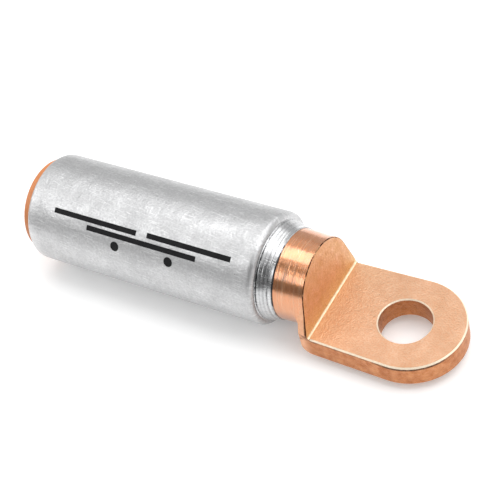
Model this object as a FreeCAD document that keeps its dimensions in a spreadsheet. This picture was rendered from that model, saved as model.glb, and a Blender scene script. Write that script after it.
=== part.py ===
# Bimetallic cable lug: an aluminium barrel that takes the stripped conductor, a copper palm
# friction-welded to its blind end, a charge of jointing compound and the plug that closes the bore.
# Row frame: origin at the centre of the palm's bolt hole on the contact face, +X along the barrel's
# axis towards the palm's end, +Z up. Lengths in millimetres, angles in degrees.
import FreeCAD, Part
import math
import os
import Sketcher

driving_sizes = {
    # palm: the flat tongue that is bolted down
    "hole_radius": 6.5,
    "hole_bevel": 0.3,
    "hole_to_bend": 19.5,
    "palm_thickness": 5.7,
    "root_ledge": 1.85,
    "end_radius": 13.5,
    "end_offset": 1.2,
    # web: the forged step between the tongue and the round stub
    "web_thickness": 2.2,
    "wall_angle": 87.0,
    "flank_foot": 1.4,
    "bend_radius": 0.5,
    "heel_radius": 2.8,
    "stub_flare": 1.2,
    "wall_edge_bevel": 0.2,
    "top_edge_bevel": 0.35,
    # stub: the round copper end that is welded to the barrel
    "stub_radius": 11.15,
    "stub_rise": 0.65,
    "weld_flare": 0.25,
    "stub_length": 8.65,
    # barrel
    "barrel_radius": 14.25,
    "barrel_length": 72.5,
    "bore_radius": 9.15,
    "bore_depth": 58.0,
    "drill_point_angle": 118.0,
    "lead_in_depth": 5.0,
    "lead_in_angle": 15.0,
    "mouth_bevel": 0.8,
    "shoulder_radius": 1.5,
    "neck_length": 3.2,
    "neck_step": 0.05,
    "ring_groove_width": 0.5,
    "ring_groove_depth": 0.25,
    "collar_step": 0.25,
    "collar_width": 1.1,
    "collar_bevel": 0.2,
    # plug
    "flange_inset": 1.7,
    "flange_thickness": 2.7,
    "flange_edge_bevel": 0.6,
    "nose_length": 4.5,
    "nose_clearance": 0.2,
    "nose_edge_bevel": 0.4,
    "plug_wall": 1.4,
    # jointing compound
    "compound_recess": 0.6,
    # how far a trimming outline runs past the metal that it trims
    "trim_margin": 2.0,
}

doc = FreeCAD.newDocument("CableLug")
sheet = doc.addObject("Spreadsheet::Sheet", "sizes")
for row, (name, number) in enumerate(driving_sizes.items(), start=1):
    sheet.set(f"A{row}", name)
    sheet.set(f"B{row}", str(number))
    sheet.setAlias(f"B{row}", name)
doc.recompute()


# A length as a number, which draws a sketch in its true place, and as the formula that binds it
class Size:
    def __init__(self, number, formula):
        self.number = number
        self.formula = formula

    def __add__(self, other):
        return Size(self.number + other.number, f"({self.formula} + {other.formula})")

    def __sub__(self, other):
        return Size(self.number - other.number, f"({self.formula} - {other.formula})")

    def __mul__(self, other):
        return Size(self.number * other.number, f"({self.formula} * {other.formula})")

    def __truediv__(self, other):
        return Size(self.number / other.number, f"({self.formula} / {other.formula})")

    def __neg__(self):
        return Size(-self.number, f"(-{self.formula})")


def size(name):
    return Size(float(sheet.get(name)), f"sizes.{name}")


def half(length):
    return Size(length.number / 2, f"({length.formula} / 2)")


def tangent(angle):
    return Size(math.tan(math.radians(angle.number)), f"tan({angle.formula} * 1 deg)")


zero = Size(0.0, "0")


# A corner of an outline. held names the coordinates that are dimensioned; a loose corner is drawn
# about where it belongs and placed by a tangent line.
class Corner:
    def __init__(self, x, y, held="xy"):
        self.x, self.y, self.held = x, y, held
        self.centre = None


# A corner whose outgoing stretch is an arc about a centre
class ArcCorner(Corner):
    def __init__(self, x, y, centre, radius, clockwise=False, held="xy"):
        super().__init__(x, y, held)
        self.centre, self.radius, self.clockwise = centre, radius, clockwise


def set_length(feature, name, length):
    setattr(feature, name, length.number)
    feature.setExpression(name, length.formula)


def new_body(label, x, z):
    body = doc.addObject("PartDesign::Body", label)
    body.Label = label
    body.Placement = FreeCAD.Placement(FreeCAD.Vector(x.number, 0, z.number), FreeCAD.Rotation())
    body.setExpression("Placement.Base.x", x.formula)
    body.setExpression("Placement.Base.z", z.formula)
    return body


def new_sketch(body, role, name, offset=zero):
    sketch = body.newObject("Sketcher::SketchObject", name)
    plane = next(item for item in body.Origin.OriginFeatures if item.Role == role)
    sketch.AttachmentSupport = [(plane, "")]
    sketch.MapMode = "FlatFace"
    shift = FreeCAD.Vector(0, 0, offset.number)
    sketch.AttachmentOffset = FreeCAD.Placement(shift, FreeCAD.Rotation())
    sketch.setExpression("AttachmentOffset.Base.z", offset.formula)
    return sketch


def vector(x, y):
    return FreeCAD.Vector(x.number, y.number, 0)


# Distance of a sketch point from the sketch's origin, along X or Y
def dimension(sketch, axis, geometry, point, length):
    kind = {"x": "DistanceX", "y": "DistanceY"}[axis]
    index = sketch.addConstraint(Sketcher.Constraint(kind, -1, 1, geometry, point, length.number))
    sketch.setExpression(f"Constraints[{index}]", length.formula)


def bind_radius(sketch, geometry, radius):
    index = sketch.addConstraint(Sketcher.Constraint("Radius", geometry, radius.number))
    sketch.setExpression(f"Constraints[{index}]", radius.formula)


def draw_arc(sketch, corner, start, end):
    centre = vector(*corner.centre)
    first, last = (end, start) if corner.clockwise else (start, end)
    circle = Part.Circle(centre, FreeCAD.Vector(0, 0, 1), corner.radius.number)
    arc = Part.ArcOfCircle(circle, circle.parameter(first), circle.parameter(last))
    geometry = sketch.addGeometry(arc, False)
    dimension(sketch, "x", geometry, 3, corner.centre[0])
    dimension(sketch, "y", geometry, 3, corner.centre[1])
    bind_radius(sketch, geometry, corner.radius)
    return geometry


# An arc already keeps its ends at its radius, so one distance places each of them
def free_axis(corner, arc):
    across = abs(corner.x.number - arc.centre[0].number)
    along = abs(corner.y.number - arc.centre[1].number)
    return "y" if across > along else "x"


# Closed outline through the corners. Gives the stretches as (geometry, start point, end point).
def draw_outline(sketch, corners):
    stretches = []
    for corner, after in zip(corners, corners[1:] + corners[:1]):
        start, end = vector(corner.x, corner.y), vector(after.x, after.y)
        if corner.centre is None:
            stretches.append((sketch.addGeometry(Part.LineSegment(start, end), False), 1, 2))
        elif corner.clockwise:
            stretches.append((draw_arc(sketch, corner, start, end), 2, 1))
        else:
            stretches.append((draw_arc(sketch, corner, start, end), 1, 2))
    for index, corner in enumerate(corners):
        before, (geometry, point, _) = corners[index - 1], stretches[index]
        last_geometry, _, last_point = stretches[index - 1]
        if corner.held != "tangent":
            joint = Sketcher.Constraint("Coincident", last_geometry, last_point, geometry, point)
            sketch.addConstraint(joint)
        else:
            sketch.addConstraint(Sketcher.Constraint("Tangent", last_geometry, last_point, geometry, point))
            continue
        arc = corner if corner.centre else before if before.centre else None
        for axis in free_axis(corner, arc) if arc else corner.held:
            dimension(sketch, axis, geometry, point, {"x": corner.x, "y": corner.y}[axis])
    doc.recompute()
    return stretches


def draw_rectangle(sketch, x_low, x_high, y_low, y_high):
    draw_outline(sketch, [
        Corner(x_low, y_low), Corner(x_high, y_low), Corner(x_high, y_high), Corner(x_low, y_high),
    ])


# The point at x, y lies on a line of the outline
def lead_through(sketch, line, x, y):
    point = sketch.addGeometry(Part.Point(vector(x, y)), True)
    dimension(sketch, "x", point, 1, x)
    dimension(sketch, "y", point, 1, y)
    sketch.addConstraint(Sketcher.Constraint("PointOnObject", point, 1, line))


def pad(body, sketch, name, length, both_ways=False):
    feature = body.newObject("PartDesign::Pad", name)
    feature.Profile = sketch
    if both_ways:
        feature.SideType = "Symmetric"
    set_length(feature, "Length", length)
    sketch.Visibility = False
    doc.recompute()


def revolve(body, sketch, name):
    feature = body.newObject("PartDesign::Revolution", name)
    feature.Profile = sketch
    feature.ReferenceAxis = (sketch, ["H_Axis"])
    feature.Angle = 360.0
    sketch.Visibility = False
    doc.recompute()


# A cut that misses the metal shows no error, so the volume has to fall
def cut(body, sketch, name, depth=None):
    before = body.Tip.Shape.Volume
    feature = body.newObject("PartDesign::Pocket", name)
    feature.Profile = sketch
    if depth is None:
        feature.Type = "ThroughAll"
        feature.SideType = "Symmetric"
    else:
        feature.Reversed = True
        set_length(feature, "Length", depth)
    sketch.Visibility = False
    doc.recompute()
    if not feature.Shape.Volume < before:
        raise RuntimeError(f"{name} cuts nothing")


# Rounds or bevels the edges of the body so far that the test picks
def dress_edges(body, kind, name, wanted, amount):
    base = body.Tip
    feature = body.newObject(kind, name)
    numbered = enumerate(base.Shape.Edges, start=1)
    feature.Base = (base, [f"Edge{number}" for number, edge in numbered if wanted(edge)])
    set_length(feature, "Radius" if kind == "PartDesign::Fillet" else "Size", amount)
    doc.recompute()


def near(one, other):
    return abs(one - other) < 1e-4


def middle(edge):
    return edge.valueAt((edge.FirstParameter + edge.LastParameter) / 2)


# A straight edge across the lug, along Y, at x, z
def across_at(x, z):
    def wanted(edge):
        box = edge.BoundBox
        straight = box.YLength > 1 and near(box.XLength, 0) and near(box.ZLength, 0)
        return straight and near(box.XMin, x.number) and near(box.ZMin, z.number)
    return wanted


# A full circle of the given radius whose plane crosses the axis (0 for X, 2 for Z) at a place
def ring_at(axis, place, radius):
    def wanted(edge):
        curve = edge.Curve
        if not isinstance(curve, Part.Circle) or not near(abs(curve.Axis[axis]), 1):
            return False
        return near(curve.Center[axis], place.number) and near(curve.Radius, radius.number)
    return wanted


# Sizes that more than one piece follows
hole_to_bend = size("hole_to_bend")
stub_radius, stub_length = size("stub_radius"), size("stub_length")
axis_height = stub_radius + size("stub_rise")
weld_radius = stub_radius + size("weld_flare")
barrel_radius, barrel_length = size("barrel_radius"), size("barrel_length")
bore_radius = size("bore_radius")
bore_depth = size("bore_depth")
lead_in_depth = size("lead_in_depth")
lead_in_slope = tangent(size("lead_in_angle"))
drill_point_slope = tangent(half(size("drill_point_angle")))
drill_tip = bore_depth + bore_radius / drill_point_slope
mouth_radius = bore_radius + lead_in_depth * lead_in_slope
mouth_x = -(hole_to_bend + stub_length + barrel_length)


# Palm, web and stub: one forged copper piece, drawn about the bend line on the barrel's axis
def build_palm():
    palm = new_body("palm", -hole_to_bend, axis_height)
    half_root, end_radius = stub_radius + size("root_ledge"), size("end_radius")
    thickness, wall_angle = size("palm_thickness"), size("wall_angle")
    end_x = hole_to_bend + size("end_offset")
    web, heel, flare = size("web_thickness"), size("heel_radius"), size("stub_flare")
    margin = size("trim_margin")
    under = -axis_height
    top = under + thickness
    bend_radius = size("bend_radius")
    bend_x = bend_radius * tangent(half(wall_angle))
    crown = stub_radius + margin
    bevel = "PartDesign::Chamfer"

    # tongue, seen from above: from the bend its sides open slightly into a round end
    tongue = new_sketch(palm, "XY_Plane", "tongue_plan", under)
    draw_outline(tongue, [
        Corner(-web, -half_root),
        Corner(bend_x, -half_root),
        ArcCorner(end_x, -end_radius, (end_x, zero), end_radius, held="tangent"),
        Corner(end_x, end_radius, held="tangent"),
        Corner(bend_x, half_root),
        Corner(-web, half_root),
    ])
    pad(palm, tongue, "tongue", thickness)

    # the tongue's upper outline in front of the bend
    def upper_edge(edge):
        box = edge.BoundBox
        level = near(box.ZMin, top.number) and near(box.ZMax, top.number)
        return level and box.XMax > (bend_x + margin).number

    dress_edges(palm, bevel, "top_edges", upper_edge, size("top_edge_bevel"))

    hole_radius = size("hole_radius")
    hole = new_sketch(palm, "XY_Plane", "hole_outline")
    circle = Part.Circle(vector(hole_to_bend, zero), FreeCAD.Vector(0, 0, 1), hole_radius.number)
    ring = hole.addGeometry(circle, False)
    dimension(hole, "x", ring, 3, hole_to_bend)
    hole.addConstraint(Sketcher.Constraint("PointOnObject", ring, 3, -1))
    bind_radius(hole, ring, hole_radius)
    cut(palm, hole, "bolt_hole")
    dress_edges(palm, bevel, "hole_bevel", ring_at(2, top, hole_radius), size("hole_bevel"))

    # web, first as a block with a rounded heel
    block = new_sketch(palm, "XZ_Plane", "web_profile")
    draw_rectangle(block, -web, bend_x, under, crown)
    pad(palm, block, "web", half_root + half_root, both_ways=True)
    dress_edges(palm, "PartDesign::Fillet", "heel", across_at(-web, under), heel)

    # the round stub runs on into the heel, and flares where it meets the back of the web
    stub = new_sketch(palm, "XZ_Plane", "stub_profile")
    flare_x, flare_radius = -(web + flare), stub_radius + flare
    draw_outline(stub, [
        Corner(-stub_length, zero),
        Corner(-stub_length, weld_radius),
        Corner(flare_x, stub_radius),
        Corner(-web, flare_radius),
        Corner(heel - web, flare_radius),
        Corner(heel - web, zero),
    ])
    revolve(palm, stub, "stub")

    # everything in front of the wall, which leans back from its bend, is pressed away
    step = new_sketch(palm, "XZ_Plane", "step_profile")
    front, step_top = heel + margin, crown + margin
    draw_outline(step, [
        Corner(bend_x, top),
        Corner(front, top),
        Corner(front, step_top),
        Corner(-((step_top - top) / tangent(wall_angle)), step_top),
        ArcCorner(zero, top + bend_x, (bend_x, top + bend_radius), bend_radius, held="tangent"),
    ])
    cut(palm, step, "step")

    # seen along the barrel: the stub's round crown, and flanks that fall to the tongue's corners
    face = new_sketch(palm, "YZ_Plane", "face_outline", flare_x)
    half_blank = half_root + margin
    half_frame = half_blank + margin
    draw_rectangle(face, -half_frame, half_frame, under - margin, crown + margin)
    outline = draw_outline(face, [
        ArcCorner(stub_radius, zero, (zero, zero), stub_radius, held="tangent"),
        Corner(-stub_radius, zero, held="tangent"),
        Corner(-half_blank, under, held="y"),
        Corner(half_blank, under, held="y"),
    ])
    flank_foot = top + size("flank_foot")
    lead_through(face, outline[1][0], -half_root, flank_foot)
    lead_through(face, outline[3][0], half_root, flank_foot)
    cut(palm, face, "face", flare + heel)

    # the wall's own outline: its flanks and its crown
    def wall_edge(edge):
        ends = [vertex.Point for vertex in edge.Vertexes] + [middle(edge)]
        lean = tangent(wall_angle).number
        on_wall = all(near(x, (top.number - z) / lean) for x, _, z in ends)
        return on_wall and middle(edge).z > flank_foot.number

    dress_edges(palm, bevel, "wall_edges", wall_edge, size("wall_edge_bevel"))
    return palm


# Barrel: a turned aluminium tube with a drilled blind bore, drawn from its open end
def build_barrel():
    barrel = new_body("barrel", mouth_x, axis_height)
    shoulder = size("shoulder_radius")
    neck_radius = barrel_radius - shoulder
    collar_radius, collar_bevel = weld_radius + size("collar_step"), size("collar_bevel")
    bevel = size("mouth_bevel")
    collar_x = barrel_length - size("collar_width")
    neck_length = size("neck_length")
    neck_x = collar_x - neck_length
    shoulder_x = neck_x - shoulder
    width, depth = size("ring_groove_width"), size("ring_groove_depth")
    slope = (collar_radius + size("neck_step") - neck_radius) / neck_length

    # a corner on the neck's cone, or a groove's depth below it
    def on_neck(along, below=zero):
        return Corner(neck_x + along, neck_radius + slope * along - below)

    profile = new_sketch(barrel, "XZ_Plane", "barrel_profile")
    draw_outline(profile, [
        Corner(zero, mouth_radius),
        Corner(zero, barrel_radius - bevel),
        Corner(bevel, barrel_radius),
        ArcCorner(shoulder_x, barrel_radius, (shoulder_x, neck_radius), shoulder, clockwise=True),
        on_neck(zero),
        on_neck(half(width), depth),
        on_neck(width),
        on_neck(half(neck_length - width)),
        on_neck(half(neck_length), depth),
        on_neck(half(neck_length + width)),
        on_neck(neck_length - width),
        on_neck(neck_length - half(width), depth),
        Corner(collar_x, collar_radius),
        Corner(barrel_length - collar_bevel, collar_radius),
        Corner(barrel_length, collar_radius - collar_bevel),
        Corner(barrel_length, zero),
        Corner(drill_tip, zero),
        Corner(bore_depth, bore_radius),
        Corner(lead_in_depth, bore_radius),
    ])
    revolve(barrel, profile, "barrel_turned")
    return barrel


# Jointing compound left in the drill point, under the conductor's end
def build_compound():
    compound = new_body("joint_compound", mouth_x, axis_height)
    surface = bore_depth + size("compound_recess")
    profile = new_sketch(compound, "XZ_Plane", "compound_profile")
    draw_outline(profile, [
        Corner(surface, zero),
        Corner(surface, (drill_tip - surface) * drill_point_slope),
        Corner(drill_tip, zero),
    ])
    revolve(compound, profile, "compound_charge")
    return compound


# Plug: a moulded flange on the barrel's mouth, with a hollow nose that seats in the lead-in
def build_plug():
    plug = new_body("end_plug", mouth_x, axis_height)
    flange_radius, thickness = barrel_radius - size("flange_inset"), size("flange_thickness")
    length, wall = size("nose_length"), size("plug_wall")
    nose_radius = mouth_radius - size("nose_clearance")
    tip_radius = nose_radius - length * lead_in_slope
    floor = -(thickness - wall)
    profile = new_sketch(plug, "XZ_Plane", "plug_profile")
    draw_outline(profile, [
        Corner(-thickness, zero),
        Corner(-thickness, flange_radius),
        Corner(zero, flange_radius),
        Corner(zero, nose_radius),
        Corner(length, tip_radius),
        Corner(length, tip_radius - wall),
        Corner(floor, tip_radius - wall),
        Corner(floor, zero),
    ])
    revolve(plug, profile, "plug_turned")
    rim = ring_at(0, -thickness, flange_radius)
    dress_edges(plug, "PartDesign::Chamfer", "flange_edge", rim, size("flange_edge_bevel"))
    tip = ring_at(0, length, tip_radius)
    dress_edges(plug, "PartDesign::Chamfer", "nose_edge", tip, size("nose_edge_bevel"))
    return plug


def check_document():
    for item in doc.Objects:
        failed = [state for state in item.State if state in ("Invalid", "Error")]
        if failed:
            raise RuntimeError(f"{item.Name} failed: {failed}")


pieces = [build_palm(), build_barrel(), build_compound(), build_plug()]
doc.recompute()
check_document()
for piece in pieces:
    if piece.Shape.isNull() or not piece.Shape.isValid() or len(piece.Shape.Solids) != 1:
        raise RuntimeError(f"{piece.Label} is not one valid solid")

os.makedirs("parts", exist_ok=True)
for piece in pieces:
    piece.Shape.exportStep(f"parts/{piece.Label}.step")
    print(piece.Label, round(piece.Shape.Volume, 1), "mm3")
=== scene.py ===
import bmesh
import bpy
import math
from mathutils import Matrix, Vector


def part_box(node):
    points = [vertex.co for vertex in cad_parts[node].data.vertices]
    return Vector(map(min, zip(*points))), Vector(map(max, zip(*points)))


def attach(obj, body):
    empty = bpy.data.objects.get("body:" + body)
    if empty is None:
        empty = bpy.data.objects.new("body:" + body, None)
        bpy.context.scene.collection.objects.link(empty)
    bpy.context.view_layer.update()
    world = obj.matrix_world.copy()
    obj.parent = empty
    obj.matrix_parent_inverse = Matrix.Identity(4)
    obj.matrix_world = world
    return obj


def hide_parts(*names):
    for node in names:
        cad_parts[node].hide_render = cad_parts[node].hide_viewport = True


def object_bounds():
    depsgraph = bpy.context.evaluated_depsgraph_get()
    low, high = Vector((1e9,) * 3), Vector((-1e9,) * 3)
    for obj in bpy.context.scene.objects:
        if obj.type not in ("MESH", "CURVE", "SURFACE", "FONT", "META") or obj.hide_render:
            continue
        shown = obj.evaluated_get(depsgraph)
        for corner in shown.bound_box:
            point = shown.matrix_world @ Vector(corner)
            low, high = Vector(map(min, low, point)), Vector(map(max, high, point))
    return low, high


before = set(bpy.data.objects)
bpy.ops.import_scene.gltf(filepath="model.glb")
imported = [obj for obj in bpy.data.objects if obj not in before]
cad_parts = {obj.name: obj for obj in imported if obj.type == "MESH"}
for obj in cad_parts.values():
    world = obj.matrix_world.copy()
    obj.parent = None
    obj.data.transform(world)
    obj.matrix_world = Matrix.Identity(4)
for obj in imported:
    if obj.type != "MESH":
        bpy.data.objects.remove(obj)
bpy.context.view_layer.update()
cadBox = [list(corner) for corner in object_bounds()]
scene = bpy.context.scene
mm = 0.001
print("frame loaded:", sorted(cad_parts))

barrelLow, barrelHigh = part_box("barrel")
plugLow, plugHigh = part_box("end_plug")
axisHeight = (barrelLow.z + barrelHigh.z) / 2
barrelRadius = (barrelHigh.y - barrelLow.y) / 2
mouthX = barrelLow.x


# Small helpers for node trees
def addNode(tree, kind, inputs=None, **settings):
    node = tree.nodes.new(kind)
    for name, value in settings.items():
        setattr(node, name, value)
    for name, value in (inputs or {}).items():
        if isinstance(value, bpy.types.NodeSocket):
            tree.links.new(value, node.inputs[name])
        else:
            node.inputs[name].default_value = value
    return node


# A node of which only the first output is used
def runNode(tree, kind, inputs=None, **settings):
    return addNode(tree, kind, inputs, **settings).outputs[0]


def calc(tree, operation, *values):
    return runNode(tree, "ShaderNodeMath", dict(enumerate(values)), operation=operation)


def remap(tree, value, fromLow, fromHigh, toLow=0.0, toHigh=1.0):
    ends = {"From Min": fromLow, "From Max": fromHigh, "To Min": toLow, "To Max": toHigh}
    return addNode(tree, "ShaderNodeMapRange", {"Value": value, **ends}, clamp=True).outputs["Result"]


def splitAxes(tree, vector):
    return addNode(tree, "ShaderNodeSeparateXYZ", {"Vector": vector}).outputs


def joinAxes(tree, x, y, z):
    return runNode(tree, "ShaderNodeCombineXYZ", {"X": x, "Y": y, "Z": z})


def objectPlace(tree):
    return addNode(tree, "ShaderNodeTexCoord").outputs["Object"]


def noiseAt(tree, place, scale, detail):
    node = addNode(tree, "ShaderNodeTexNoise", {"Vector": place, "Scale": scale, "Detail": detail})
    return node.outputs["Fac"]


# A mix node takes colours in sockets 6 and 7 and gives their blend in socket 2
def blendColour(tree, share, first, second):
    colours = [(*value, 1.0) if isinstance(value, tuple) else value for value in (first, second)]
    inputs = {0: share, 6: colours[0], 7: colours[1]}
    return addNode(tree, "ShaderNodeMix", inputs, data_type="RGBA").outputs[2]


# A node group, and the sockets that its input node gives and its output node takes
def newTree(name, kind, inputs, outputs):
    tree = bpy.data.node_groups.new(name, kind)
    for label, socketKind, value in inputs:
        socket = tree.interface.new_socket(label, in_out="INPUT", socket_type=socketKind)
        if value is not None:
            socket.default_value = value
    for label, socketKind in outputs:
        tree.interface.new_socket(label, in_out="OUTPUT", socket_type=socketKind)
    return tree, tree.nodes.new("NodeGroupInput").outputs, tree.nodes.new("NodeGroupOutput").inputs


def placeGroup(tree, group, inputs):
    return addNode(tree, "ShaderNodeGroup", inputs, node_tree=group).outputs


# Which levels of a noise texture become 0 and 1, and from which ones a scratch shows
noiseLevels = {
    "broad": (0.3, 0.7), "peaks": (0.66, 0.74),
    "fewScratches": 0.8, "manyScratches": 0.55, "scratchEdge": 0.05,
}


# Cloudy shading, fine grain and ragged tears in the metal, sizes in millimetres
def makeCloudGroup():
    tree, given, out = newTree("metalClouds", "ShaderNodeTree", [
        ("Cloud size", "NodeSocketFloat", 6.0),
        ("Grain size", "NodeSocketFloat", 0.3),
        ("Tear size", "NodeSocketFloat", 1.5),
    ], [("Cloud", "NodeSocketFloat"), ("Grain", "NodeSocketFloat"), ("Tear", "NodeSocketFloat")])
    place = objectPlace(tree)
    for label, detail in (("Cloud", 4.0), ("Grain", 3.0), ("Tear", 3.0)):
        scale = calc(tree, "DIVIDE", 1 / mm, given[label + " size"])
        noise = noiseAt(tree, place, scale, detail)
        tree.links.new(remap(tree, noise, *noiseLevels["broad"]), out[label])
    return tree


# The angle round the barrel's axis, 0 at the top
def turnRound(tree, part):
    return calc(tree, "ARCTAN2", part["Y"], calc(tree, "SUBTRACT", part["Z"], axisHeight))


# Fine rings that a lathe tool leaves round the barrel's axis
def makeRingGroup():
    tree, given, out = newTree("turnedRings", "ShaderNodeTree", [
        ("Pitch", "NodeSocketFloat", 0.3),
        ("Break up", "NodeSocketFloat", 1.0),
        ("Line width", "NodeSocketFloat", 0.25),
    ], [("Rings", "NodeSocketFloat"), ("Lines", "NodeSocketFloat")])
    part = splitAxes(tree, objectPlace(tree))
    turn = turnRound(tree, part)
    side = calc(tree, "MULTIPLY", calc(tree, "SINE", turn), given["Break up"])
    up = calc(tree, "MULTIPLY", calc(tree, "COSINE", turn), given["Break up"])
    # broad soft rings, and thin single lines where a finer noise peaks
    kinds = [("Rings", "Pitch", 3.0, "broad"), ("Lines", "Line width", 0.0, "peaks")]
    for label, width, detail, levels in kinds:
        along = calc(tree, "DIVIDE", calc(tree, "MULTIPLY", part["X"], 1 / mm), given[width])
        noise = noiseAt(tree, joinAxes(tree, along, side, up), 1.0, detail)
        tree.links.new(remap(tree, noise, *noiseLevels[levels]), out[label])
    return tree


# Sparse thin scratches along one heading; Round lays them on the barrel's curve, unrolled
def makeScratchGroup():
    tree, given, out = newTree("handlingScratches", "ShaderNodeTree", [
        ("Round", "NodeSocketFloat", 0.0),
        ("Heading", "NodeSocketFloat", 0.3),
        ("Length", "NodeSocketFloat", 6.0),
        ("Width", "NodeSocketFloat", 0.12),
        ("Amount", "NodeSocketFloat", 0.5),
    ], [("Scratch", "NodeSocketFloat")])
    part = splitAxes(tree, objectPlace(tree))
    unrolled = calc(tree, "MULTIPLY", turnRound(tree, part), barrelRadius)
    across = remap(tree, given["Round"], 0.0, 1.0, part["Y"], unrolled)
    level = calc(tree, "MULTIPLY", part["Z"], calc(tree, "SUBTRACT", 1.0, given["Round"]))
    flat = joinAxes(tree, part["X"], across, level)
    heading = joinAxes(tree, 0.0, 0.0, given["Heading"])
    headed = splitAxes(tree, runNode(tree, "ShaderNodeMapping", {"Vector": flat, "Rotation": heading}))
    along = calc(tree, "DIVIDE", calc(tree, "MULTIPLY", headed["X"], 1 / mm), given["Length"])
    across = calc(tree, "DIVIDE", calc(tree, "MULTIPLY", headed["Y"], 1 / mm), given["Width"])
    noise = noiseAt(tree, joinAxes(tree, along, across, headed["Z"]), 1.0, 1.0)
    few, many = noiseLevels["fewScratches"], noiseLevels["manyScratches"]
    least = remap(tree, given["Amount"], 0.0, 1.0, few, many)
    most = calc(tree, "ADD", least, noiseLevels["scratchEdge"])
    tree.links.new(remap(tree, noise, least, most), out["Scratch"])
    return tree


cloudGroup = makeCloudGroup()
ringGroup = makeRingGroup()
scratchGroup = makeScratchGroup()


def newMaterial(name):
    material = bpy.data.materials.new(name)
    material.use_nodes = True
    return material, material.node_tree, material.node_tree.nodes["Principled BSDF"]


def addBump(tree, shader, height):
    bump = runNode(tree, "ShaderNodeBump", {"Height": height, "Strength": 1.0, "Distance": mm})
    tree.links.new(bump, shader.inputs["Normal"])


# How the metals use the tears: where a tint is whole, how faint a crease's painted shade gets, and the
# depths between which a crease turns fully dark, partly as a dark seam and partly as painted shade
tearUse = {"tintWhole": 0.8, "shadeLeast": 0.6, "fullDarkFrom": 0.5, "fullDarkTo": 0.75}


# A metal finish: clouded colour, grain, turned rings, scratches, brighter worn edges that on the palm are
# painted highlights, and painted shade in creases
def makeMetal(name, look):
    material, tree, shader = newMaterial(name)
    shader.inputs["Metallic"].default_value = look["metallic"]
    shader.inputs["Coat Weight"].default_value = look["coat"]
    shader.inputs["Coat Roughness"].default_value = look["coatRough"]
    shader.inputs["Coat IOR"].default_value = look["coatIndex"]
    clouds = placeGroup(tree, cloudGroup, {
        "Cloud size": look["cloudSize"], "Grain size": look["grainSize"], "Tear size": look["tearSize"],
    })
    rings = placeGroup(tree, ringGroup, {
        "Pitch": look["ringPitch"], "Break up": look["ringBreak"], "Line width": look["lineWidth"],
    })
    scratch = placeGroup(tree, scratchGroup, {
        "Round": look["round"], "Heading": look["heading"], "Length": look["scratchLength"],
        "Width": look["scratchWidth"], "Amount": look["scratches"],
    })["Scratch"]
    wearAndGlint = addNode(tree, "ShaderNodeAttribute", attribute_name="wearAndGlint").outputs["Fac"]
    crease = addNode(tree, "ShaderNodeAttribute", attribute_name="crease").outputs["Fac"]

    colour = blendColour(tree, clouds["Cloud"], look["dark"], look["pale"])
    part = splitAxes(tree, objectPlace(tree))
    for ramps, least, tintColour in look["tintsAndShades"]:
        patch = remap(tree, clouds["Tear"], least, tearUse["tintWhole"])
        for axis, start, end in ramps:
            patch = calc(tree, "MULTIPLY", patch, remap(tree, part[axis], start * mm, end * mm))
        colour = blendColour(tree, patch, colour, tintColour)
    layers = [
        (rings["Rings"], "ringColour", "ringDark"), (rings["Lines"], "lineColour", "lineTone"),
        (clouds["Grain"], "grainColour", "grainDark"), (scratch, "scratchColour", "bright"),
        (wearAndGlint, "wearAndGlintColour", "bright"),
    ]
    for mask, share, tone in layers:
        colour = blendColour(tree, calc(tree, "MULTIPLY", mask, look[share]), colour, look[tone])
    # creases get painted shade first, and then turn fully dark where they are torn; that dark is partly a
    # dark seam and partly painted shade
    faint = remap(tree, clouds["Tear"], 0.0, 1.0, tearUse["shadeLeast"], 1.0)
    shade = calc(tree, "MULTIPLY", crease, calc(tree, "MULTIPLY", faint, look["creaseShade"]))
    colour = blendColour(tree, shade, colour, look["creaseDark"])
    ragged = calc(tree, "SUBTRACT", calc(tree, "ADD", clouds["Tear"], clouds["Grain"]), 1.0)
    tornAndShaded = calc(tree, "ADD", crease, calc(tree, "MULTIPLY", ragged, look["tearDepth"]))
    tornAndShaded = remap(tree, tornAndShaded, tearUse["fullDarkFrom"], tearUse["fullDarkTo"])
    colour = blendColour(tree, tornAndShaded, colour, look["creaseDark"])
    tree.links.new(colour, shader.inputs["Base Color"])

    rough = remap(tree, clouds["Cloud"], 0.0, 1.0, look["roughHigh"], look["roughLow"])
    rough = calc(tree, "ADD", rough, calc(tree, "MULTIPLY", clouds["Grain"], look["grainRough"]))
    rough = calc(tree, "SUBTRACT", rough, calc(tree, "MULTIPLY", wearAndGlint, look["wearPolish"]))
    tree.links.new(rough, shader.inputs["Roughness"])
    if look["wearAndGlintDull"]:
        # burnished edges scatter light, so they stay pale at any angle; on the palm's bevels this pale colour
        # is a painted highlight
        gloss = calc(tree, "SUBTRACT", look["metallic"], calc(tree, "MULTIPLY", wearAndGlint, look["wearAndGlintDull"]))
        tree.links.new(gloss, shader.inputs["Metallic"])

    height = calc(tree, "MULTIPLY", clouds["Grain"], look["grainHeight"])
    relief = [
        ("ADD", rings["Rings"], "ringHeight"), ("SUBTRACT", rings["Lines"], "lineHeight"),
        ("ADD", clouds["Cloud"], "cloudHeight"), ("SUBTRACT", scratch, "scratchHeight"),
    ]
    for operation, mask, share in relief:
        height = calc(tree, operation, height, calc(tree, "MULTIPLY", mask, look[share]))
    addBump(tree, shader, height)
    return material


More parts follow.
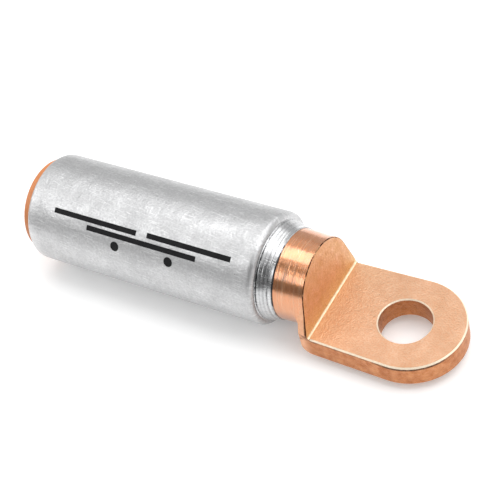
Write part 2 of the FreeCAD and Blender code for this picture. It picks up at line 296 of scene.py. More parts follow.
# What most of the metals share; lengths are in millimetres and headings in radians
plainLook = {
    "coat": 0.0, "coatRough": 0.12, "coatIndex": 2.1, "metallic": 1.0, "wearAndGlintDull": 0.0, "grainRough": 0.06,
    "creaseShade": 0.0, "lineWidth": 0.25, "lineColour": 0.0, "lineHeight": 0.0,
    # tints and painted shades: the axes that they grow along, each from and to, then how whole they are and
    # their colour
    "tintsAndShades": [],
}
barrelLook = dict(
    plainLook, pale=(0.65, 0.652, 0.655), dark=(0.565, 0.567, 0.57), bright=(0.88, 0.88, 0.88),
    ringDark=(0.32, 0.32, 0.325), grainDark=(0.34, 0.34, 0.35), creaseDark=(0.05, 0.05, 0.055),
    lineTone=(0.12, 0.12, 0.125), tearDepth=0.6, tearSize=1.5, cloudSize=6.0, grainSize=0.5,
    ringPitch=0.6, ringBreak=2.5, round=1.0, heading=0.1, scratchLength=4.0, scratchWidth=0.25, scratches=0.7,
    ringColour=0.12, grainColour=0.45, scratchColour=0.4, wearAndGlintColour=0.5,
    roughLow=0.36, roughHigh=0.46, wearPolish=0.1,
    grainHeight=0.035, ringHeight=0.012, cloudHeight=0.14, scratchHeight=0.01,
)
# the neck's grooves get soft painted shade that stands in for the dark reflections in them
neckLook = dict(
    barrelLook, pale=(0.73, 0.735, 0.74), dark=(0.6, 0.605, 0.61), cloudSize=3.0, roughLow=0.2, roughHigh=0.3,
    ringPitch=0.8, ringBreak=0.5, ringColour=0.3, ringDark=(0.35, 0.35, 0.355), ringHeight=0.03,
    lineColour=0.3, lineHeight=0.006, grainHeight=0.005, cloudHeight=0.02, grainRough=0.03,
    creaseDark=(0.06, 0.06, 0.063), tearSize=1.0, tearDepth=0.3, creaseShade=1.1,
)
tongueLook = dict(
    plainLook, pale=(0.635, 0.42, 0.29), dark=(0.555, 0.35, 0.225), bright=(0.98, 0.85, 0.66),
    ringDark=(0.62, 0.28, 0.13), grainDark=(0.6, 0.3, 0.16), creaseDark=(0.05, 0.015, 0.008),
    lineTone=(0.98, 0.64, 0.42), tearDepth=0.4, tearSize=2.0, cloudSize=4.0, grainSize=0.4, wearAndGlintDull=0.7,
    ringPitch=0.5, ringBreak=3.0, round=0.0, heading=0.5, scratchLength=5.0, scratchWidth=0.12, scratches=0.2,
    ringColour=0.0, grainColour=0.7, scratchColour=0.3, wearAndGlintColour=0.9,
    roughLow=0.42, roughHigh=0.52, wearPolish=0.12,
    grainHeight=0.058, ringHeight=0.0, cloudHeight=0.04, scratchHeight=0.003,
    # the tongue gets warmer towards the bend
    tintsAndShades=[([("X", -6.0, -19.0)], -2.0, (0.7, 0.45, 0.28))],
)
stubLook = dict(
    tongueLook, pale=(0.75, 0.295, 0.106), dark=(0.63, 0.212, 0.069), coat=0.55, metallic=0.85, wearAndGlintDull=0.0,
    ringPitch=0.7, ringBreak=0.8, ringColour=0.45, ringDark=(0.55, 0.2, 0.08), ringHeight=0.05, round=1.0,
    lineColour=0.4, lineHeight=0.03, roughLow=0.13, roughHigh=0.22, heading=1.2, scratches=0.5,
    grainHeight=0.005, cloudHeight=0.015, tintsAndShades=[],
)
# the palm's sides get paler behind the bend
bendTint = [("X", -18.8, -20.6)], -4.0, (0.84, 0.48, 0.3)
sideLook = dict(
    tongueLook, pale=(0.625, 0.28, 0.12), dark=(0.435, 0.148, 0.052), cloudSize=1.6, grainColour=0.4,
    roughLow=0.35, roughHigh=0.5, cloudHeight=0.1, wearAndGlintDull=0.0,
    tintsAndShades=[
        bendTint,
        # painted shade: dark below the bevel, and darkest round the near half of the tongue's end
        ([("Z", 4.8, 5.1)], 0.1, (0.1, 0.03, 0.015)),
        ([("Z", 4.65, 4.85), ("X", -3.0, 1.0), ("Y", -5.0, -8.0)], -8.0, (0.015, 0.004, 0.002)),
    ],
)
flankLook = dict(
    sideLook, pale=(0.9, 0.48, 0.24), dark=(0.76, 0.34, 0.14),
    # a painted dark line of shade along the web's edge
    tintsAndShades=[bendTint, ([("X", -20.2, -20.0), ("Z", 12.5, 10.5)], -4.0, (0.05, 0.015, 0.008))],
)
holeLook = dict(
    sideLook, pale=(0.54, 0.22, 0.08), dark=(0.4, 0.14, 0.045), roughLow=0.3, roughHigh=0.42, tintsAndShades=[],
)
wallLook = dict(
    tongueLook, pale=(0.86, 0.55, 0.345), dark=(0.74, 0.425, 0.2), cloudSize=2.2, cloudHeight=0.12,
    scratches=0.45,
    # the wall gets yellower towards its foot
    tintsAndShades=[([("Z", 11.5, 6.5)], -0.8, (0.93, 0.71, 0.37))],
)

barrelMetal = makeMetal("satin drawn aluminium", barrelLook)
neckMetal = makeMetal("turned aluminium neck", neckLook)
palmMetals = {
    "face": makeMetal("pressed copper face", tongueLook),
    "wall": makeMetal("pressed copper wall", wallLook),
    "stub": makeMetal("turned copper stub", stubLook),
    "side": makeMetal("sheared copper side", sideLook),
    "flank": makeMetal("pressed copper flank", flankLook),
    "hole": makeMetal("punched copper hole", holeLook),
}


# A moulded or pasty finish that isn't metal
def makeDull(name, look):
    material, tree, shader = newMaterial(name)
    clouds = placeGroup(tree, cloudGroup, {"Cloud size": look["cloudSize"], "Grain size": look["grainSize"]})
    colour = blendColour(tree, clouds["Cloud"], look["dark"], look["pale"])
    tree.links.new(colour, shader.inputs["Base Color"])
    rough = remap(tree, clouds["Grain"], 0.0, 1.0, look["roughLow"], look["roughHigh"])
    tree.links.new(rough, shader.inputs["Roughness"])
    shader.inputs["Specular IOR Level"].default_value = look["specular"]
    addBump(tree, shader, calc(tree, "MULTIPLY", clouds["Grain"], look["grainHeight"]))
    return material


plugPlastic = makeDull("moulded orange plastic", {
    "pale": (0.62, 0.23, 0.085), "dark": (0.55, 0.19, 0.06), "cloudSize": 5.0, "grainSize": 0.4,
    "roughLow": 0.42, "roughHigh": 0.55, "grainHeight": 0.004, "specular": 0.5,
})
greyPaste = makeDull("jointing compound", {
    "pale": (0.24, 0.23, 0.21), "dark": (0.13, 0.125, 0.115), "cloudSize": 2.0, "grainSize": 0.3,
    "roughLow": 0.25, "roughHigh": 0.5, "grainHeight": 0.05, "specular": 0.5,
})
markInk = makeDull("black marking ink", {
    "pale": (0.012, 0.012, 0.013), "dark": (0.006, 0.006, 0.007), "cloudSize": 2.0, "grainSize": 0.2,
    "roughLow": 0.55, "roughHigh": 0.7, "grainHeight": 0.002, "specular": 0.15,
})
print("finishes made")

# Turned pieces: how sharp a bend has to be to stay crisp, in radians, then the side on which the creases'
# painted shade shows fully and how far round from it it fades, in degrees, and how much of it is left there
turningSizes = {"sharpAngle": 0.6, "shadedSide": -50.0, "shadeFade": 60.0, "litSideShade": 0.25, "mergeReach": 1e-7}


def placeOf(tree):
    return runNode(tree, "GeometryNodeInputPosition")


# A tree ends in real geometry, dressed in its material
def endTree(tree, geometry, material, out):
    real = runNode(tree, "GeometryNodeRealizeInstances", {"Geometry": geometry})
    dressed = runNode(tree, "GeometryNodeSetMaterial", {"Geometry": real, "Material": material})
    tree.links.new(dressed, out["Geometry"])


# A turned piece: an outline swept round the barrel's axis
def makeLatheTree(sizes):
    tree, given, out = newTree("turnedPiece", "GeometryNodeTree", [
        ("Geometry", "NodeSocketGeometry", None),
        ("Corners", "NodeSocketInt", 10),
        ("Steps round", "NodeSocketInt", 256),
        ("Axis height", "NodeSocketFloat", 0.0),
        ("Sharp angle", "NodeSocketFloat", sizes["sharpAngle"]),
        ("Metal", "NodeSocketMaterial", None),
        ("Shaded side", "NodeSocketFloat", math.radians(sizes["shadedSide"])),
        ("Lit side shade", "NodeSocketFloat", sizes["litSideShade"]),
    ], [("Geometry", "NodeSocketGeometry")])
    rows = calc(tree, "ADD", given["Steps round"], 1.0)
    grid = runNode(tree, "GeometryNodeMeshGrid", {
        "Size X": 1.0, "Size Y": 1.0, "Vertices X": given["Corners"], "Vertices Y": rows,
    })
    part = splitAxes(tree, placeOf(tree))
    last = calc(tree, "SUBTRACT", given["Corners"], 1.0)
    corner = calc(tree, "ROUND", calc(tree, "MULTIPLY", calc(tree, "ADD", part["X"], 0.5), last))
    turn = calc(tree, "MULTIPLY", calc(tree, "ADD", part["Y"], 0.5), math.tau)
    # each row of the grid takes its place and marks from the outline's corners
    sample = {"Geometry": given["Geometry"], "Index": corner}
    corners = {**sample, "Value": placeOf(tree)}
    reach = splitAxes(tree, runNode(tree, "GeometryNodeSampleIndex", corners, data_type="FLOAT_VECTOR"))
    side = calc(tree, "MULTIPLY", reach["Y"], calc(tree, "SINE", turn))
    rise = calc(tree, "MULTIPLY", reach["Y"], calc(tree, "COSINE", turn))
    place = joinAxes(tree, reach["X"], side, calc(tree, "ADD", rise, given["Axis height"]))
    # the creases' painted shade fades away from the shaded side of the turn
    facing = calc(tree, "COSINE", calc(tree, "SUBTRACT", turn, given["Shaded side"]))
    fade = remap(tree, facing, math.cos(math.radians(sizes["shadeFade"])), 1.0, given["Lit side shade"], 1.0)
    marked = grid
    for label, share in (("wearAndGlint", 1.0), ("crease", fade)):
        kept = runNode(tree, "GeometryNodeInputNamedAttribute", {"Name": label}, data_type="FLOAT")
        there = runNode(tree, "GeometryNodeSampleIndex", {**sample, "Value": kept}, data_type="FLOAT")
        marked = runNode(tree, "GeometryNodeStoreNamedAttribute", {
            "Geometry": marked, "Name": label, "Value": calc(tree, "MULTIPLY", there, share),
        }, data_type="FLOAT", domain="POINT")
    swept = runNode(tree, "GeometryNodeSetPosition", {"Geometry": marked, "Position": place})
    outward = runNode(tree, "GeometryNodeFlipFaces", {"Mesh": swept})
    merge = {"Geometry": outward, "Distance": sizes["mergeReach"]}
    closed = runNode(tree, "GeometryNodeMergeByDistance", merge)
    smooth = runNode(tree, "GeometryNodeSetShadeSmooth", {"Geometry": closed}, domain="FACE")
    bend = addNode(tree, "GeometryNodeInputMeshEdgeAngle").outputs["Unsigned Angle"]
    crisp = runNode(tree, "GeometryNodeSetShadeSmooth", {
        "Geometry": smooth, "Selection": calc(tree, "GREATER_THAN", bend, given["Sharp angle"]),
        "Shade Smooth": False,
    }, domain="EDGE")
    endTree(tree, crisp, given["Metal"], out)
    return tree


def runTree(name, mesh, tree, values):
    source = bpy.data.objects.new(name + "Source", mesh)
    scene.collection.objects.link(source)
    modifier = source.modifiers.new("shape", "NODES")
    modifier.node_group = tree
    for item in tree.interface.items_tree:
        if item.item_type == "SOCKET" and item.in_out == "INPUT" and item.name in values:
            modifier[item.identifier] = values[item.name]
    graph = bpy.context.evaluated_depsgraph_get()
    made = bpy.data.meshes.new_from_object(source.evaluated_get(graph))
    source.modifiers.remove(modifier)
    bpy.data.objects.remove(source)
    made.name = name
    # the source mesh's empty first slot goes
    metal = next(material for material in made.materials if material)
    made.materials.clear()
    made.materials.append(metal)
    made.polygons.foreach_set("material_index", [0] * len(made.polygons))
    piece = bpy.data.objects.new(name, made)
    scene.collection.objects.link(piece)
    return piece


latheTree = makeLatheTree(turningSizes)


def makeTurned(name, outline, material, stepsRound):
    mesh = bpy.data.meshes.new(name + "Outline")
    mesh.from_pydata([(x * mm, radius * mm, 0.0) for x, radius, wearAndGlint, crease in outline], [], [])
    for index, label in ((2, "wearAndGlint"), (3, "crease")):
        values = [corner[index] for corner in outline]
        mesh.attributes.new(label, "FLOAT", "POINT").data.foreach_set("value", values)
    return runTree(name, mesh, latheTree, {
        "Corners": len(outline), "Steps round": stepsRound, "Axis height": axisHeight, "Metal": material,
    })


def outlinePoint(x, radius, wearAndGlint=0.0, crease=0.0):
    return x, radius, wearAndGlint, crease


# An arc of the outline about the point at x and radius
def roundCorner(x, radius, size, fromAngle, toAngle, steps, wearAndGlint=0.0, crease=0.0):
    for step in range(steps + 1):
        angle = math.radians(fromAngle + (toAngle - fromAngle) * step / steps)
        yield outlinePoint(x + size * math.cos(angle), radius + size * math.sin(angle), wearAndGlint, crease)


barrelSizes = {
    "radius": barrelRadius / mm, "stepsRound": 256, "bodySteps": 24,
    "collarRadius": 11.65, "collarWidth": 1.1, "collarRound": 0.2, "collarSteps": 4, "collarLean": 15.0,
    "wornFrom": 0.45, "wornTo": 0.2,        # the collar's worn band, from the weld and from its other end
    "neckLength": 3.2, "neckStep": 0.05, "neckSteps": 128, "neckLean": 6.0, "neckOverlap": 0.02,
    "shoulder": 1.5, "shoulderSteps": 16, "mouthRound": 0.8, "mouthSteps": 10,
    "boreRadius": 9.15, "boreDepth": 58.0, "pointAngle": 118.0, "leadIn": 5.0, "leadInAngle": 15.0,
    # turned grooves in the neck: distance from the shoulder, half width, depth, how dark their painted shade
    # is
    "grooves": [
        (0.3, 0.3, 0.1, 0.95), (1.2, 0.3, 0.045, 0.42), (2.05, 0.35, 0.045, 0.44), (2.9, 0.16, 0.08, 0.7),
    ],
    "groovePower": 1.5,
}
leadInSlope = math.tan(math.radians(barrelSizes["leadInAngle"]))
mouthRadius = barrelSizes["boreRadius"] + barrelSizes["leadIn"] * leadInSlope


def barrelOutline(sizes):
    weldX, mouth = barrelHigh.x / mm, mouthX / mm
    collarX = weldX - sizes["collarWidth"]
    neckX = collarX - sizes["neckLength"]
    shoulderX = neckX - sizes["shoulder"]
    neckRadius = sizes["radius"] - sizes["shoulder"]
    collarRadius, collarRound = sizes["collarRadius"], sizes["collarRound"]
    weldCorner = weldX - collarRound, collarRadius - collarRound, collarRound
    # the collar's corner at the weld is a dark seam line, which also carries painted shade
    points = [outlinePoint(weldX, 0.0), outlinePoint(weldX, collarRadius - collarRound, crease=1.0)]
    points += roundCorner(*weldCorner, sizes["collarLean"], 90, sizes["collarSteps"], crease=1.0)
    points.append(outlinePoint(weldX - sizes["wornFrom"], collarRadius, wearAndGlint=0.3))
    points.append(outlinePoint(collarX + sizes["wornTo"], collarRadius, wearAndGlint=0.2))
    # the neck's cone, drawn back from the collar
    for step in range(sizes["neckSteps"] + 1):
        along = 1.0 - step / sizes["neckSteps"]
        cone = neckRadius + (collarRadius + sizes["neckStep"] - neckRadius) * along
        dip, dark = 0.0, 0.0
        for place, halfWidth, depth, darkness in sizes["grooves"]:
            aside = abs(sizes["neckLength"] * along - place) / halfWidth
            share = max(0.0, 1.0 - aside ** sizes["groovePower"])
            dip, dark = max(dip, depth * share), max(dark, darkness * share)
        points.append(outlinePoint(neckX + sizes["neckLength"] * along, cone - dip, crease=dark))
    points += roundCorner(
        shoulderX, neckRadius, sizes["shoulder"], sizes["neckLean"], 90, sizes["shoulderSteps"],
    )
    mouthRound = sizes["mouthRound"]
    mouthStart = mouth + mouthRound
    for step in range(1, sizes["bodySteps"]):
        x = shoulderX + (mouthStart - shoulderX) * step / sizes["bodySteps"]
        points.append(outlinePoint(x, sizes["radius"]))
    points += roundCorner(
        mouthStart, sizes["radius"] - mouthRound, mouthRound, 90, 180, sizes["mouthSteps"], wearAndGlint=0.4,
    )
    points.append(outlinePoint(mouth, mouthRadius, wearAndGlint=0.2))
    points.append(outlinePoint(mouth + sizes["leadIn"], sizes["boreRadius"]))
    tip = sizes["boreDepth"] + sizes["boreRadius"] / math.tan(math.radians(sizes["pointAngle"] / 2))
    points.append(outlinePoint(mouth + sizes["boreDepth"], sizes["boreRadius"]))
    return points + [outlinePoint(mouth + tip, 0.0)]


barrelPiece = makeTurned("barrelShell", barrelOutline(barrelSizes), barrelMetal, barrelSizes["stepsRound"])
barrelPiece.data.materials.append(neckMetal)
neckReach = barrelSizes["collarWidth"] + barrelSizes["neckLength"] + barrelSizes["neckOverlap"]
for face in barrelPiece.data.polygons:
    if face.center.x > barrelHigh.x - neckReach * mm:
        face.material_index = 1
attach(barrelPiece, "lug")
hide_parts("barrel")
print("barrel turned:", len(barrelPiece.data.polygons), "faces")

plugSizes = {
    "flangeRadius": (plugHigh.y - plugLow.y) / 2 / mm, "flangeThick": 2.7, "rimRound": 0.6, "rimSteps": 8,
    "noseLength": 4.5, "noseClearance": 0.2, "tipRound": 0.4, "tipLip": 0.1, "wall": 1.4,
    "backRing": 3.0, "stepsRound": 192,
}


def plugOutline(sizes):
    mouth, wall, tipRound, rimRound = mouthX / mm, sizes["wall"], sizes["tipRound"], sizes["rimRound"]
    noseRadius = mouthRadius - sizes["noseClearance"]
    tipRadius = noseRadius - sizes["noseLength"] * leadInSlope
    back, tipX = mouth - sizes["flangeThick"], mouth + sizes["noseLength"]
    hollow = tipRadius - wall
    return [
        outlinePoint(back + wall, 0.0), outlinePoint(back + wall, hollow), outlinePoint(tipX, hollow),
        outlinePoint(tipX, tipRadius - tipRound), outlinePoint(tipX - tipRound, tipRadius + sizes["tipLip"]),
        outlinePoint(mouth, noseRadius), outlinePoint(mouth, sizes["flangeRadius"]),
        *roundCorner(back + rimRound, sizes["flangeRadius"] - rimRound, rimRound, 90, 180, sizes["rimSteps"]),
        outlinePoint(back, sizes["backRing"]), outlinePoint(back, 0.0),
    ]


plugPiece = makeTurned("plugShell", plugOutline(plugSizes), plugPlastic, plugSizes["stepsRound"])
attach(plugPiece, "plug")
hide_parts("end_plug")
print("plug turned:", len(plugPiece.data.polygons), "faces")


# The palm keeps its forged form; its curved faces are shaded from their own axes
palmSizes = {
    "thick": 5.7, "bendX": -19.5, "wallBack": 1.2, "wallFront": 0.5, "bendRise": 0.5, "bevelDepth": 0.5,
    "stubBackX": -21.75, "crownRadius": 11.5, "crownZ": 15.0, "holeReach": 6.6,
    "slack": 0.01, "topSlack": 0.1, "mergeReach": 1e-6,
    # how much of a face's normal lies along an axis where the face is flat, leans or is a bevel
    "flat": 0.98, "leans": 0.05, "bevelLeast": 0.4, "bevelMost": 0.95, "crownLean": 0.3,
    # the bend's painted highlight, and the painted shade on the wall's upper bevels
    "bendGlint": 0.65, "highCrease": 0.75,
    # a point on the axis of each round form, and the axis's direction
    "roundAxes": {
        "stub and crown": ((0.0, 0.0, 11.8), (1, 0, 0)),
        "bolt hole": ((0.0, 0.0, 0.0), (0, 0, 1)),
        "tongue's end": ((1.2, 0.0, 0.0), (0, 0, 1)),
        "heel": ((-18.9, 0.0, 2.8), (0, 1, 0)),
        "bend at the wall's foot": ((-19.0255, 0.0, 6.2), (0, 1, 0)),
    },
    # how well a facet has to fit a turned surface to be shaded as part of it
    "leastOutward": 0.1, "levelSlack": 0.02, "facing": 0.98,
}


# The exact normals of a flat facet's corners where it lies on a surface turned about the axis
def turnedNormals(corners, normal, point, axis, sizes):
    lean = normal.dot(axis)
    outward = (normal - axis * lean).length
    if outward < sizes["leastOutward"]:
        return None
    radial = [(corner - point) - axis * (corner - point).dot(axis) for corner in corners]
    middle = sum(radial, Vector())
    sign = 1.0 if middle.dot(normal) > 0 else -1.0
    levels = []
    for arm, corner in zip(radial, corners):
        levels.append(sign * arm.length * outward + lean * (corner - point).dot(axis))
    apart = max(levels) - min(levels) > sizes["levelSlack"]
    if apart or middle.normalized().dot(normal) * sign < outward * sizes["facing"]:
        return None
    return [(arm.normalized() * sign * outward + axis * lean).normalized() for arm in radial]


# Which finish a face of the palm has, how much painted highlight its edges get as wear, and how much painted
# shade it gets as a crease
def palmRegion(centre, normal, sizes):
    thick, slack, flat = sizes["thick"], sizes["slack"], sizes["flat"]
    onTop = normal.z > flat and abs(centre.z - thick) < sizes["topSlack"]
    if onTop or normal.z < -flat:
        return "face", 0.0, 0.0
    # the bevels round the tongue and the bolt hole get a painted highlight, carried as wear
    inBevel = thick - sizes["bevelDepth"] < centre.z < thick + slack
    if inBevel and sizes["bevelLeast"] < normal.z < sizes["bevelMost"]:
        return "face", 1.0, 0.0
    if math.hypot(centre.x, centre.y) < sizes["holeReach"]:
        return "hole", 0.0, 0.0
    atWall = sizes["bendX"] - sizes["wallBack"] < centre.x < sizes["bendX"] + sizes["wallFront"]
    if atWall and centre.z > thick - slack:
        if normal.x > flat:
            return "wall", 0.0, 0.0
        # the bend at the wall's foot gets a painted highlight
        leaning = min(normal.x, normal.z) > sizes["leans"] and abs(normal.y) < slack
        if leaning and centre.z < thick + sizes["bendRise"]:
            return "wall", sizes["bendGlint"], 0.0
        # the wall's bevelled edges get painted shade as a dark crease line
        if sizes["bevelLeast"] < normal.x < sizes["bevelMost"]:
            return "wall", 0.0, 1.0 if centre.z < sizes["crownZ"] else sizes["highCrease"]
    nearAxis = math.hypot(centre.y, centre.z - axisHeight / mm) < sizes["crownRadius"]
    onCrown = nearAxis and abs(normal.x) < sizes["crownLean"] and centre.z > thick
    if onCrown or centre.x < sizes["stubBackX"]:
        return "stub", 0.0, 0.0
    return "side" if centre.z < thick else "flank", 0.0, 0.0


def makePalm(sizes):
    order = list(palmMetals)
    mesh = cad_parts["palm"].data.copy()
    mesh.name = "palmForging"
    mesh.materials.clear()
    for material in palmMetals.values():
        mesh.materials.append(material)
    work = bmesh.new()
    work.from_mesh(mesh)
    bmesh.ops.remove_doubles(work, verts=work.verts, dist=sizes["mergeReach"])
    axes = [(Vector(point), Vector(axis)) for point, axis in sizes["roundAxes"].values()]
    wearAndGlint, crease = work.faces.layers.float.new("wearAndGlint"), work.faces.layers.float.new("crease")
    normals = []
    for face in work.faces:
        face.smooth = True
        region, face[wearAndGlint], face[crease] = palmRegion(face.calc_center_median() / mm, face.normal, sizes)
        face.material_index = order.index(region)
        corners = [loop.vert.co / mm for loop in face.loops]
        found = (turnedNormals(corners, face.normal, point, axis, sizes) for point, axis in axes)
        normals += next((item for item in found if item), [face.normal.copy()] * len(corners))
    work.to_mesh(mesh)
    work.free()
    mesh.normals_split_custom_set(normals)
    piece = bpy.data.objects.new("palmForging", mesh)
    scene.collection.objects.link(piece)
    return piece


palmPiece = makePalm(palmSizes)
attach(palmPiece, "lug")
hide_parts("palm")
print("palm made:", len(palmPiece.data.polygons), "faces")

# the compound keeps its own form
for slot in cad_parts["joint_compound"].material_slots:
    slot.material = greyPaste
print("compound dressed as paste")


# Crimping marks: bars and dots printed round the barrel
markSizes = {
    "film": 0.02,        # how far the ink stands off the barrel
    "barWidth": 1.36, "barColumns": 24, "barRows": 7, "dotRadius": 1.25, "dotCorners": 48, "mergeReach": 1e-7,
    # each bar: where it starts along the barrel, its angle from the top, its length
    "bars": [(-92.0, 40.9, 25.6), (-81.3, 49.2, 32.9), (-63.2, 39.9, 24.3)],
    # each dot: where it is along the barrel, its angle from the top
    "dots": [(-72.3, 60.4), (-56.1, 60.0)],
}


def joinPieces(tree, *pieces):
    join = addNode(tree, "GeometryNodeJoinGeometry")
    for piece in pieces:
        tree.links.new(piece, join.inputs[0])
    return join.outputs[0]


def makeMarkTree(sizes):
    tree, given, out = newTree("printedMarks", "GeometryNodeTree", [
        ("Geometry", "NodeSocketGeometry", None),
        ("Barrel radius", "NodeSocketFloat", 0.01),
        ("Film", "NodeSocketFloat", 0.00002),
        ("Axis height", "NodeSocketFloat", 0.0),
        ("Bar width", "NodeSocketFloat", 0.0015),
        ("Dot radius", "NodeSocketFloat", 0.0013),
        ("Ink", "NodeSocketMaterial", None),
    ], [("Geometry", "NodeSocketGeometry")])
    # a spot with a length is a bar, and one without is a dot
    lengthOf = runNode(tree, "GeometryNodeInputNamedAttribute", {"Name": "length"}, data_type="FLOAT")
    isBar = calc(tree, "GREATER_THAN", lengthOf, 0.0)
    isDot = calc(tree, "SUBTRACT", 1.0, isBar)
    bar = runNode(tree, "GeometryNodeMeshGrid", {
        "Size X": 1.0, "Size Y": given["Bar width"],
        "Vertices X": sizes["barColumns"], "Vertices Y": sizes["barRows"],
    })
    stretch = joinAxes(tree, lengthOf, 1.0, 1.0)
    bars = runNode(tree, "GeometryNodeInstanceOnPoints", {
        "Points": given["Geometry"], "Selection": isBar, "Instance": bar, "Scale": stretch,
    })
    circle = {"Vertices": sizes["dotCorners"], "Radius": given["Dot radius"]}
    dot = runNode(tree, "GeometryNodeMeshCircle", circle, fill_type="TRIANGLE_FAN")
    dots = runNode(tree, "GeometryNodeInstanceOnPoints", {
        "Points": given["Geometry"], "Selection": isDot, "Instance": dot,
    })
    real = runNode(tree, "GeometryNodeRealizeInstances", {"Geometry": joinPieces(tree, bars, dots)})
    sheet = runNode(tree, "GeometryNodeExtrudeMesh", {
        "Mesh": real, "Offset": (0.0, 0.0, 1.0), "Offset Scale": given["Film"], "Individual": False,
    }, mode="FACES")
    # the film's underside closes it
    shell = joinPieces(tree, sheet, runNode(tree, "GeometryNodeFlipFaces", {"Mesh": real}))
    merge = {"Geometry": shell, "Distance": sizes["mergeReach"]}
    closed = runNode(tree, "GeometryNodeMergeByDistance", merge)
    # wrapped: the sheet's width becomes an angle round the axis
    part = splitAxes(tree, placeOf(tree))
    reach = calc(tree, "ADD", given["Barrel radius"], part["Z"])
    turn = calc(tree, "DIVIDE", part["Y"], given["Barrel radius"])
    side = calc(tree, "MULTIPLY", calc(tree, "SINE", turn), calc(tree, "MULTIPLY", reach, -1.0))
    rise = calc(tree, "MULTIPLY", calc(tree, "COSINE", turn), reach)
    place = joinAxes(tree, part["X"], side, calc(tree, "ADD", rise, given["Axis height"]))
    wrapped = runNode(tree, "GeometryNodeSetPosition", {"Geometry": closed, "Position": place})
    outward = runNode(tree, "GeometryNodeFlipFaces", {"Mesh": wrapped})
    endTree(tree, outward, given["Ink"], out)
    return tree


def makeMarks(sizes):
    spots, lengths = [], []
    for x, angle, length in sizes["bars"]:
        spots.append(((x + length / 2) * mm, math.radians(angle) * barrelRadius, 0.0))
        lengths.append(length * mm)
    for x, angle in sizes["dots"]:
        spots.append((x * mm, math.radians(angle) * barrelRadius, 0.0))
        lengths.append(0.0)
    mesh = bpy.data.meshes.new("markSpots")
    mesh.from_pydata(spots, [], [])
    mesh.attributes.new("length", "FLOAT", "POINT").data.foreach_set("value", lengths)
    return runTree("crimpMarks", mesh, makeMarkTree(sizes), {
        "Barrel radius": barrelRadius, "Film": sizes["film"] * mm, "Axis height": axisHeight,
        "Bar width": sizes["barWidth"] * mm, "Dot radius": sizes["dotRadius"] * mm, "Ink": markInk,
    })


marksPiece = makeMarks(markSizes)
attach(marksPiece, "lug")
print("marks printed:", len(marksPiece.data.polygons), "faces")


# Camera, lamps, floor and the cards round them
cameraView = {
    "place": (0.10245, -0.15711, 0.23468), "lens": 90.16, "nearest": 0.01,
    "right": (0.8497, 0.4854, -0.2061), "back": (0.4685, -0.5155, 0.7175),
}


def placeFacing(item, place, right, up, back):
    item.matrix_world = Matrix.Translation(place) @ Matrix((right, up, back)).transposed().to_4x4()
    scene.collection.objects.link(item)


camera = bpy.data.objects.new("camera", bpy.data.cameras.new("camera"))
right, back = Vector(cameraView["right"]).normalized(), Vector(cameraView["back"]).normalized()
placeFacing(camera, cameraView["place"], right, back.cross(right), back)
camera.data.lens = cameraView["lens"]
camera.data.clip_start = cameraView["nearest"]
scene.camera = camera

lightSizes = {
    "lamps": {
        "top": {"place": (0.04, 0.075, 0.5), "size": (0.86, 0.29), "radiance": 2.25},
        "left": {"place": (-0.52, -0.27, 0.48), "size": (0.32, 0.34), "radiance": 2.3},
        "back": {"place": (0.14, 0.42, 0.5), "size": (0.5, 0.42), "radiance": 1.3},
        "front": {"place": (-0.36, -0.385, 0.325), "size": (0.38, 0.16), "radiance": 1.5},
        "right": {"place": (0.6, 0.05, 0.4), "size": (0.3, 0.5), "radiance": 1.4},
    },
    "world": 0.83, "stageRough": 0.9, "floorGrey": 0.88, "floorGlow": 0.2, "floorReach": 3.0,
    # grey cards in a ring round the set: where each half starts in degrees, its upper edge and its grey
    "cards": {"front": (180.0, 0.58, 0.25), "back": (0.0, 0.72, 0.8)},
    "cardRadius": 1.2, "cardSides": 24, "cardLow": 0.04,
    # dark flags: opposite corners, at the same height or the same depth
    "flags": {
        "highFlag": ((-0.42, -0.26, 0.45), (-0.05, -0.16, 0.45)),
        "lowFlag": ((-0.2, -0.6, 0.13), (0.7, -0.6, 0.85)),
    },
    "flagGrey": 0.2,
}


# A soft lamp that faces the bolt hole
def addSoftbox(name, look):
    lamp = bpy.data.lights.new(name, "AREA")
    lamp.shape = "RECTANGLE"
    lamp.size, lamp.size_y = look["size"]
    lamp.energy = look["radiance"] * math.pi * lamp.size * lamp.size_y
    away = Vector(look["place"]).normalized()
    along = (Vector((1, 0, 0)) - away * away.x).normalized()
    placeFacing(bpy.data.objects.new(name, lamp), look["place"], along, away.cross(along), away)


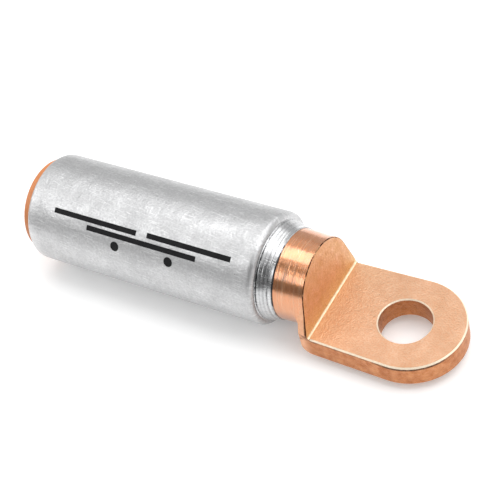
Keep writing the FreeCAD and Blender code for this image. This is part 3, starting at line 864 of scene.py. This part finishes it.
# A matt grey sheet of the set
def addStage(name, points, faces, grey, shown=False):
    mesh = bpy.data.meshes.new(name)
    mesh.from_pydata(points, [], faces)
    paint, tree, shader = newMaterial(name + " paint")
    shader.inputs["Base Color"].default_value = (grey, grey, grey, 1.0)
    shader.inputs["Roughness"].default_value = lightSizes["stageRough"]
    shader.inputs["Specular IOR Level"].default_value = 0.0
    mesh.materials.append(paint)
    piece = bpy.data.objects.new(name, mesh)
    scene.collection.objects.link(piece)
    piece.visible_camera = shown
    return tree, shader


for name, look in lightSizes["lamps"].items():
    addSoftbox(name + "Softbox", look)
world = bpy.data.worlds.new("studio")
scene.world = world
world.use_nodes = True
world.node_tree.nodes["Background"].inputs["Color"].default_value = (1.0, 1.0, 1.0, 1.0)
world.node_tree.nodes["Background"].inputs["Strength"].default_value = lightSizes["world"]

# the floor glows a little to the camera and in reflections, so that it looks white
wide, level = lightSizes["floorReach"], cadBox[0][2]
floorCorners = [(-wide, -wide, level), (wide, -wide, level), (wide, wide, level), (-wide, wide, level)]
floorTree, floorShader = addStage("floor", floorCorners, [(0, 1, 2, 3)], lightSizes["floorGrey"], shown=True)
floorShader.inputs["Emission Color"].default_value = (1.0, 1.0, 1.0, 1.0)
path = addNode(floorTree, "ShaderNodeLightPath").outputs
seen = calc(floorTree, "MAXIMUM", path["Is Camera Ray"], path["Is Glossy Ray"])
seen = calc(floorTree, "MAXIMUM", seen, path["Is Transmission Ray"])
glow = calc(floorTree, "MULTIPLY", seen, lightSizes["floorGlow"])
floorTree.links.new(glow, floorShader.inputs["Emission Strength"])

# the camera doesn't see the cards and flags, but their reflections shape the metal
sides, reach = lightSizes["cardSides"], lightSizes["cardRadius"]
for end, (start, high, grey) in lightSizes["cards"].items():
    points = []
    for side in range(sides + 1):
        turn = math.radians(start) + math.pi * side / sides
        for height in (lightSizes["cardLow"], high):
            points.append((reach * math.cos(turn), reach * math.sin(turn), height))
    faces = [(2 * side, 2 * side + 2, 2 * side + 3, 2 * side + 1) for side in range(sides)]
    addStage(end + "Cards", points, faces, grey)
for name, (low, high) in lightSizes["flags"].items():
    points = [low, (high[0], low[1], low[2]), high, (low[0], high[1], high[2])]
    addStage(name, points, [(0, 1, 2, 3)], lightSizes["flagGrey"])
print("set lit:", len(lightSizes["lamps"]), "lamps")

scene.view_settings.view_transform = "Standard"
bpy.context.view_layer.update()
print("scene ready")
